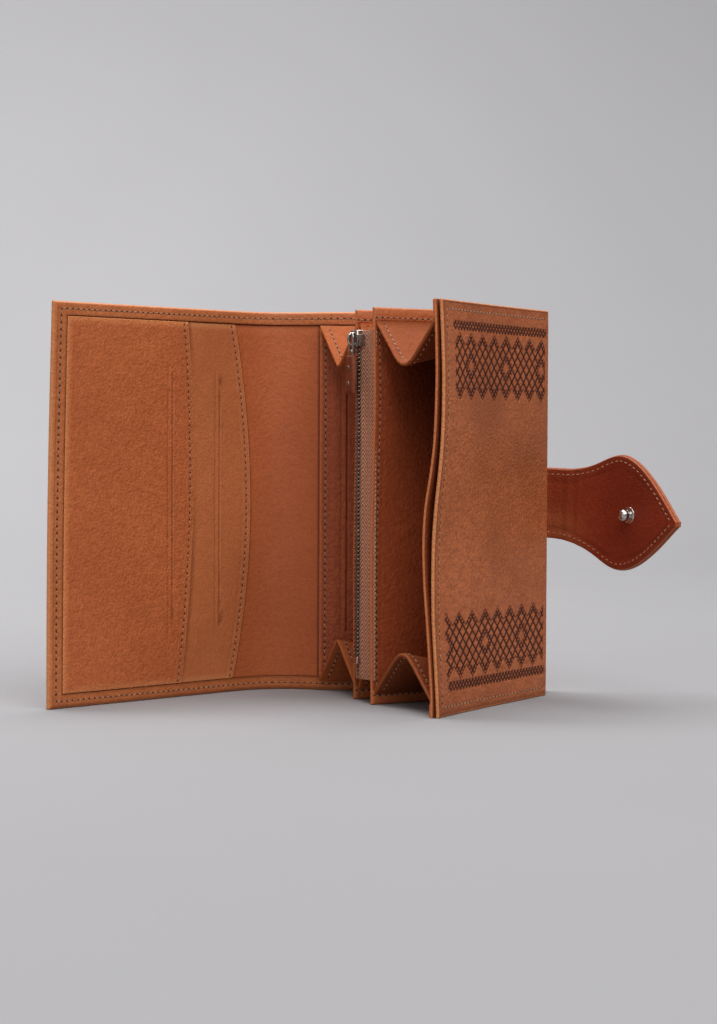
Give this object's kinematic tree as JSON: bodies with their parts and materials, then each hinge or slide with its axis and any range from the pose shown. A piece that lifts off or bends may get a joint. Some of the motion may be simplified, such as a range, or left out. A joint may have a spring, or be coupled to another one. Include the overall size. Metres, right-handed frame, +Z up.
{
  "type": "long wallet",
  "caption": "Flap wallet that stands open: card and note pockets, gusseted accordion with a zip coin pocket, and a snap closure tab.",
  "frame": {"origin": "on the bottom edge of the back panel's outer leather, 40 mm from the mouth edge of the back card pocket; the wallet stands on its short end", "axes": "+Z up, +X from the flap to the closure tab, +Y away from the pocket mouths"},
  "size_m": [0.2287, 0.0917, 0.145],
  "materials": {
    "outer_leather": "satin vegetable-tanned",
    "lining_leather": "smooth",
    "pocket_leather": "smooth",
    "gusset_leather": "thin, soft",
    "zip_tape": "woven",
    "zip_teeth": "satin",
    "nickel": "polished",
    "snap_metal": "polished"
  },
  "bodies": {
    "back": {"back_outer": "outer_leather", "back_lining": "lining_leather", "back_card_pocket": "pocket_leather", "base_strip": "outer_leather", "tab_anchor": "outer_leather"},
    "spine": {"spine_outer": "outer_leather", "spine_lining": "lining_leather"},
    "flap": {"flap_outer": "outer_leather", "flap_lining": "lining_leather", "flap_pocket_curved": "pocket_leather", "flap_pocket_large": "pocket_leather", "snap_socket": "snap_metal", "socket_rivet": "snap_metal"},
    "zip_left": {"zip_wall_left": "lining_leather"},
    "zip_right": {"zip_wall_right": "lining_leather"},
    "front": {"front_inner": "lining_leather", "front_outer": "outer_leather"},
    "zip_tape_left": {"zip_tape_left": "zip_tape"},
    "zip_tape_right": {"zip_tape_right": "zip_tape"},
    "zip_chain": {"zip_teeth_left": "zip_teeth", "zip_teeth_right": "zip_teeth", "zip_bottom_stop": "nickel", "zip_top_stop": "nickel"},
    "zip_slider": {"slider_body": "nickel", "slider_bridge": "nickel"},
    "zip_pull": {"pull_clamp": "nickel", "pull_strap": "outer_leather", "pull_rivet": "nickel"},
    "tab_neck": {"tab_neck_outer": "outer_leather", "tab_neck_lining": "lining_leather"},
    "tab_end": {"tab_end_outer": "outer_leather", "tab_end_lining": "lining_leather", "stud": "snap_metal", "stud_cap": "snap_metal"},
    "gusset_back_top_a": {"gusset_back_top_a": "gusset_leather"},
    "gusset_back_top_b": {"gusset_back_top_b": "gusset_leather"},
    "gusset_back_bottom_a": {"gusset_back_bottom_a": "gusset_leather"},
    "gusset_back_bottom_b": {"gusset_back_bottom_b": "gusset_leather"},
    "gusset_zip_top_a": {"gusset_zip_top_a": "gusset_leather"},
    "gusset_zip_top_b": {"gusset_zip_top_b": "gusset_leather"},
    "gusset_zip_bottom_a": {"gusset_zip_bottom_a": "gusset_leather"},
    "gusset_zip_bottom_b": {"gusset_zip_bottom_b": "gusset_leather"},
    "gusset_front_top_a": {"gusset_front_top_a": "gusset_leather"},
    "gusset_front_top_b": {"gusset_front_top_b": "gusset_leather"},
    "gusset_front_bottom_a": {"gusset_front_bottom_a": "gusset_leather"},
    "gusset_front_bottom_b": {"gusset_front_bottom_b": "gusset_leather"}
  },
  "joints": [
    {"name": "spine_fold", "type": "hinge", "parent": "back", "child": "spine", "pos_m": [-0.048, -0.0005, 0], "axis": [0, 0, 1], "range_deg": [0, 85.7]},
    {"name": "flap_fold", "type": "hinge", "parent": "spine", "child": "flap", "pos_m": [-0.0695, -0.00212, 0], "axis": [0, 0, 1], "range_deg": [-45, 49]},
    {"name": "zip_left_swing", "type": "hinge", "parent": "back", "child": "zip_left", "pos_m": [0.0445, -0.0061, 0], "axis": [0, 0, -1], "range_deg": [0, 19.42]},
    {"name": "zip_right_swing", "type": "hinge", "parent": "back", "child": "zip_right", "pos_m": [0.0445, -0.0103, 0], "axis": [0, 0, -1], "range_deg": [0, 30.82]},
    {"name": "front_swing", "type": "hinge", "parent": "back", "child": "front", "pos_m": [0.0445, -0.0149, 0], "axis": [0, 0, -1], "range_deg": [0, 58.72]},
    {"name": "gusset_back_top_a_fold", "type": "hinge", "parent": "back", "child": "gusset_back_top_a", "pos_m": [0.0445, -0.004, 0.14], "axis": [1, 0, 0], "range_deg": [0, 38.57]},
    {"name": "gusset_back_top_b_fold", "type": "hinge", "parent": "gusset_back_top_a", "child": "gusset_back_top_b", "pos_m": [0.0445, -0.004, 0.14], "axis": [-0.9686, -0.1549, -0.1944], "range_deg": [0, 82.32]},
    {"name": "gusset_back_bottom_a_fold", "type": "hinge", "parent": "back", "child": "gusset_back_bottom_a", "pos_m": [0.0445, -0.004, 0.005], "axis": [-1, 0, 0], "range_deg": [0, 38.57]},
    {"name": "gusset_back_bottom_b_fold", "type": "hinge", "parent": "gusset_back_bottom_a", "child": "gusset_back_bottom_b", "pos_m": [0.0445, -0.004, 0.005], "axis": [0.9686, 0.1549, -0.1944], "range_deg": [0, 82.32]},
    {"name": "gusset_zip_top_a_fold", "type": "hinge", "parent": "zip_left", "child": "gusset_zip_top_a", "pos_m": [0.0452, -0.00808, 0.14], "axis": [0.9432, 0.3322, 0], "range_deg": [0, 28.85]},
    {"name": "gusset_zip_top_b_fold", "type": "hinge", "parent": "gusset_zip_top_a", "child": "gusset_zip_top_b", "pos_m": [0.0452, -0.00808, 0.14], "axis": [-0.8929, -0.4155, -0.1732], "range_deg": [0, 58.07]},
    {"name": "gusset_zip_bottom_a_fold", "type": "hinge", "parent": "zip_left", "child": "gusset_zip_bottom_a", "pos_m": [0.0452, -0.00808, 0.005], "axis": [-0.9432, -0.3322, 0], "range_deg": [0, 28.85]},
    {"name": "gusset_zip_bottom_b_fold", "type": "hinge", "parent": "gusset_zip_bottom_a", "child": "gusset_zip_bottom_b", "pos_m": [0.0452, -0.00808, 0.005], "axis": [0.8929, 0.4155, -0.1732], "range_deg": [0, 58.07]},
    {"name": "gusset_front_top_a_fold", "type": "hinge", "parent": "zip_right", "child": "gusset_front_top_a", "pos_m": [0.04557, -0.0121, 0.14], "axis": [0.859, 0.512, 0], "range_deg": [0, 51.37]},
    {"name": "gusset_front_top_b_fold", "type": "hinge", "parent": "gusset_front_top_a", "child": "gusset_front_top_b", "pos_m": [0.04557, -0.0121, 0.14], "axis": [-0.6917, -0.6955, -0.1946], "range_deg": [0, 100.9]},
    {"name": "gusset_front_bottom_a_fold", "type": "hinge", "parent": "zip_right", "child": "gusset_front_bottom_a", "pos_m": [0.04557, -0.0121, 0.005], "axis": [-0.859, -0.512, 0], "range_deg": [0, 51.37]},
    {"name": "gusset_front_bottom_b_fold", "type": "hinge", "parent": "gusset_front_bottom_a", "child": "gusset_front_bottom_b", "pos_m": [0.04557, -0.0121, 0.005], "axis": [0.6917, 0.6955, -0.1946], "range_deg": [0, 100.9]},
    {"name": "zip_tape_left_fold", "type": "hinge", "parent": "zip_left", "child": "zip_tape_left", "pos_m": [-0.02577, -0.03085, 0], "axis": [0, 0, -1], "range_deg": [0, 60.32]},
    {"name": "zip_tape_right_fold", "type": "hinge", "parent": "zip_right", "child": "zip_tape_right", "pos_m": [-0.01949, -0.04845, 0], "axis": [0, 0, 1], "range_deg": [0, 71.26]},
    {"name": "zip_chain_turn", "type": "hinge", "parent": "zip_tape_right", "child": "zip_chain", "pos_m": [-0.02542, -0.04064, 0], "axis": [0, 0, -1], "range_deg": [0, 60.09]},
    {"name": "zip_slide", "type": "slide", "parent": "zip_chain", "child": "zip_slider", "axis": [0, 0, 1], "range_m": [-0.109, 0]},
    {"name": "pull_swing", "type": "hinge", "parent": "zip_slider", "child": "zip_pull", "pos_m": [-0.02805, -0.04158, 0.133], "axis": [0.3359, -0.9419, 0], "range_deg": [-75, 1.5]},
    {"name": "tab_root", "type": "hinge", "parent": "back", "child": "tab_neck", "pos_m": [0.0487, 0.0019, 0.0725], "axis": [-0.1253, 0, -0.9921], "range_deg": [-46, 44]},
    {"name": "tab_wrap", "type": "hinge", "parent": "tab_neck", "child": "tab_end", "pos_m": [0.06893, -0.01922, 0.06994], "axis": [-0.0349, 0.0871, -0.9956], "range_deg": [-8, 82]}
  ],
  "couplings": [
    {"joint": "zip_left_swing", "follows": "spine_fold", "ratio": 0.22637},
    {"joint": "zip_right_swing", "follows": "spine_fold", "ratio": 0.35939},
    {"joint": "front_swing", "follows": "spine_fold", "ratio": 0.68495},
    {"joint": "gusset_back_top_a_fold", "follows": "spine_fold", "ratio": 0.44978},
    {"joint": "gusset_back_top_b_fold", "follows": "spine_fold", "ratio": 0.96038},
    {"joint": "gusset_back_bottom_a_fold", "follows": "spine_fold", "ratio": 0.44978},
    {"joint": "gusset_back_bottom_b_fold", "follows": "spine_fold", "ratio": 0.96038},
    {"joint": "gusset_zip_top_a_fold", "follows": "spine_fold", "ratio": 0.3364},
    {"joint": "gusset_zip_top_b_fold", "follows": "spine_fold", "ratio": 0.67742},
    {"joint": "gusset_zip_bottom_a_fold", "follows": "spine_fold", "ratio": 0.3364},
    {"joint": "gusset_zip_bottom_b_fold", "follows": "spine_fold", "ratio": 0.67742},
    {"joint": "gusset_front_top_a_fold", "follows": "spine_fold", "ratio": 0.59916},
    {"joint": "gusset_front_top_b_fold", "follows": "spine_fold", "ratio": 1.1771},
    {"joint": "gusset_front_bottom_a_fold", "follows": "spine_fold", "ratio": 0.59916},
    {"joint": "gusset_front_bottom_b_fold", "follows": "spine_fold", "ratio": 1.1771},
    {"joint": "zip_tape_left_fold", "follows": "spine_fold", "ratio": 0.70362},
    {"joint": "zip_tape_right_fold", "follows": "spine_fold", "ratio": 0.8313},
    {"joint": "zip_chain_turn", "follows": "spine_fold", "ratio": 0.70095}
  ]
}
